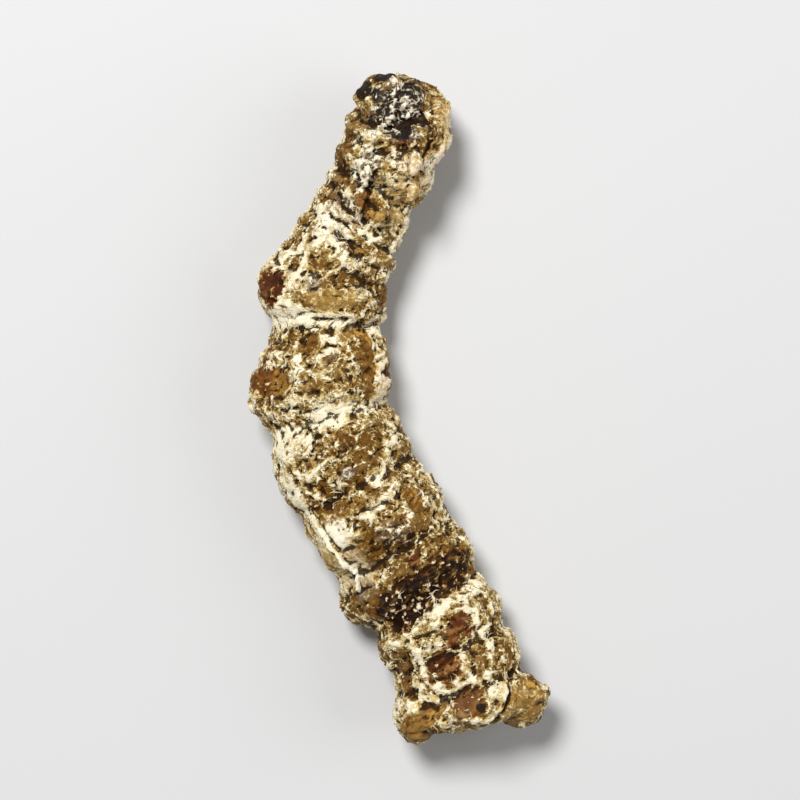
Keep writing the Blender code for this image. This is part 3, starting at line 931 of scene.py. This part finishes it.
# %% Crumbs and threads
CRUMBS = 8500
CRUMB_RADIUS = (0.02, 0.06)
THREADS = 2900
THREAD_RADIUS = (0.012, 0.024)
THREAD_LENGTH = (0.3, 0.95)
THREAD_POINTS = 10
THREAD_SIDES = 3
LOOSE_COLOURS = [("shade", 0.0, 1.0, 1.0, "#8f7a48"), ("shade", 0.4, 0.9, 1.0, "#f3e8c8")]


def loose_piece(name, points, faces, shade, material):
    """A joined mesh of many small closed shapes, each with its own shade."""
    mesh = bpy.data.meshes.new(name)
    mesh.from_pydata(points * MM, [], faces)
    made = bpy.data.objects.new(name, mesh)
    bpy.context.scene.collection.objects.link(made)
    write_fields(mesh, {"shade": shade})
    mesh.materials.append(material)
    mesh.shade_smooth()
    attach(made, "root")
    print(name, "triangles", sum(len(face) - 2 for face in faces))


def loose_material():
    material = bpy.data.materials.new("spore_powder_and_mycelium_threads")
    material.use_nodes = True
    tree = material.node_tree
    shade = add_node(tree, "ShaderNodeAttribute", "Fac", {}, attribute_name="shade")
    colour = lay_colours_over(tree, linear("#5a4523"), LOOSE_COLOURS, {"shade": shade})
    shader = tree.nodes["Principled BSDF"]
    tree.links.new(colour, shader.inputs["Base Color"])
    shader.inputs["Roughness"].default_value = 0.95
    shader.inputs["Specular IOR Level"].default_value = 0.2
    return material


def unit(vectors):
    return vectors / np.linalg.norm(vectors, axis=-1, keepdims=True)


def lay_crumbs(dice, points, normals, chance, shade, material):
    bm = bmesh.new()
    bmesh.ops.create_icosphere(bm, subdivisions=1, radius=1.0)
    ball = np.array([corner.co[:] for corner in bm.verts])
    sides = np.array([[corner.index for corner in face.verts] for face in bm.faces])
    bm.free()
    at = dice.choice(len(points), CRUMBS, p=chance)
    radius = dice.uniform(*CRUMB_RADIUS, (CRUMBS, 1))
    shape = ball * dice.uniform(0.6, 1.0, (CRUMBS, 1, 3)) * dice.uniform(0.75, 1.25, (CRUMBS, len(ball), 1))
    middle = points[at] + normals[at] * radius * 0.1
    corners = (middle[:, None] + shape * radius[:, None]).reshape(-1, 3)
    faces = (sides + len(ball) * np.arange(CRUMBS)[:, None, None]).reshape(-1, 3)
    loose_piece("felt_crumbs", corners, faces.tolist(), np.repeat(shade[at], len(ball)), material)


def lay_threads(dice, surface, points, normals, chance, shade, material):
    at = dice.choice(len(points), THREADS, p=chance)
    ahead = np.cross(normals[at], unit(dice.normal(size=(THREADS, 3))))
    beside = np.cross(normals[at], unit(ahead))
    share = np.linspace(-1, 1, THREAD_POINTS)
    length = dice.uniform(*THREAD_LENGTH, (THREADS, 1, 1))
    curl = dice.normal(0, 0.3, (THREADS, 1, 1)) * share[:, None] ** 2
    curl = curl + dice.normal(0, 0.12, (THREADS, 1, 1)) * np.sin(4 * share)[:, None]
    line = points[at][:, None] + 0.5 * length * (unit(ahead)[:, None] * share[:, None] + beside[:, None] * curl)
    radius = dice.uniform(*THREAD_RADIUS, (THREADS, 1, 1)) * (1.05 - share[:, None] ** 4)
    found = [surface.find_nearest(place) for place in line.reshape(-1, 3)]
    skin = np.array([hit[0] for hit in found]).reshape(line.shape)
    out = np.array([hit[1] for hit in found]).reshape(line.shape)
    lift = dice.uniform(0.0, 0.06, (THREADS, 1, 1)) * np.clip(share[:, None], 0, 1) ** 3
    line = skin + out * (0.6 * radius + lift)
    across = unit(np.cross(np.gradient(line, axis=1), out))
    turn = 2 * np.pi * np.arange(THREAD_SIDES) / THREAD_SIDES
    ring = out[:, :, None] * np.cos(turn)[:, None] + across[:, :, None] * np.sin(turn)[:, None]
    corners = (line[:, :, None] + ring * radius[:, :, None]).reshape(-1, 3)
    first = [(k, j) for k in range(THREAD_POINTS - 1) for j in range(THREAD_SIDES)]
    one = [[k * THREAD_SIDES + j, k * THREAD_SIDES + (j + 1) % THREAD_SIDES] for k, j in first]
    one = [[a, b, b + THREAD_SIDES, a + THREAD_SIDES] for a, b in one]
    size = THREAD_POINTS * THREAD_SIDES
    ends = [list(range(THREAD_SIDES))[::-1], list(range(size - THREAD_SIDES, size))]
    faces = [[corner + size * k for corner in face] for k in range(THREADS) for face in one + ends]
    loose_piece("mycelium_threads", corners, faces, np.repeat(shade[at], size), material)


def loose_felt(body):
    dice = np.random.default_rng(9)
    points = read_points(body) / MM
    normals = read_normals(body)
    chance = (ramp(fields["felt"], -0.05, 0.1) + 0.1) * (1 - 0.8 * fields["calm"])
    chance = chance / chance.sum()
    shade = np.clip(0.35 + 4 * fields["felt"] + dice.normal(0, 0.2, len(points)), 0, 1)
    surface = BVHTree.FromPolygons(points.tolist(), [face.vertices[:] for face in body.data.polygons])
    material = loose_material()
    lay_crumbs(dice, points, normals, chance, shade, material)
    lay_threads(dice, surface, points, normals, chance, shade, material)


loose_felt(body)

# %% [markdown]
# ## Table, light and camera
# The floor is plain and pale. A large soft light stands at the upper left, so that folds throw their
# shade to the right, and a weak fill stands opposite. The camera looks straight down from far away
# through a long lens, because the larva is small in its photograph and shows no perspective.

# %% Floor, light, camera
FRAME_HEIGHT = 41 * MM
LENS = 135.0
SENSOR = 36.0


def pale_floor():
    bm = bmesh.new()
    bmesh.ops.create_grid(bm, x_segments=1, y_segments=1, size=0.6)
    floor = object_from(bm, "pale_floor")
    material = bpy.data.materials.new("pale_matt_board")
    material.use_nodes = True
    shader = material.node_tree.nodes["Principled BSDF"]
    shader.inputs["Base Color"].default_value = linear("#d2d2d2")
    shader.inputs["Roughness"].default_value = 0.6
    floor.data.materials.append(material)


def soft_light(name, place, size, power):
    light = bpy.data.lights.new(name, "AREA")
    light.shape = "DISK"
    light.size = size
    light.energy = power
    lamp = bpy.data.objects.new(name, light)
    lamp.location = place
    lamp.rotation_euler = Vector(place).to_track_quat("Z", "Y").to_euler()
    bpy.context.scene.collection.objects.link(lamp)


def top_camera():
    camera = bpy.data.cameras.new("top_camera")
    camera.lens = LENS
    camera.sensor_width = SENSOR
    camera.clip_start = 0.01
    made = bpy.data.objects.new("top_camera", camera)
    middle_height = cad_box[1][2] / 2
    made.location = (0, 0, middle_height + FRAME_HEIGHT * LENS / SENSOR)
    bpy.context.scene.collection.objects.link(made)
    bpy.context.scene.camera = made


pale_floor()
soft_light("key_light", (-0.09, 0.15, 0.34), 0.12, 1.47)
soft_light("fill_light", (0.3, 0.0, 0.2), 0.3, 0.42)
top_camera()
world = bpy.data.worlds.new("studio")
world.use_nodes = True
world.node_tree.nodes["Background"].inputs["Color"].default_value = (1, 1, 1, 1)
world.node_tree.nodes["Background"].inputs["Strength"].default_value = 0.2
bpy.context.scene.world = world
bpy.context.scene.view_settings.view_transform = "Standard"
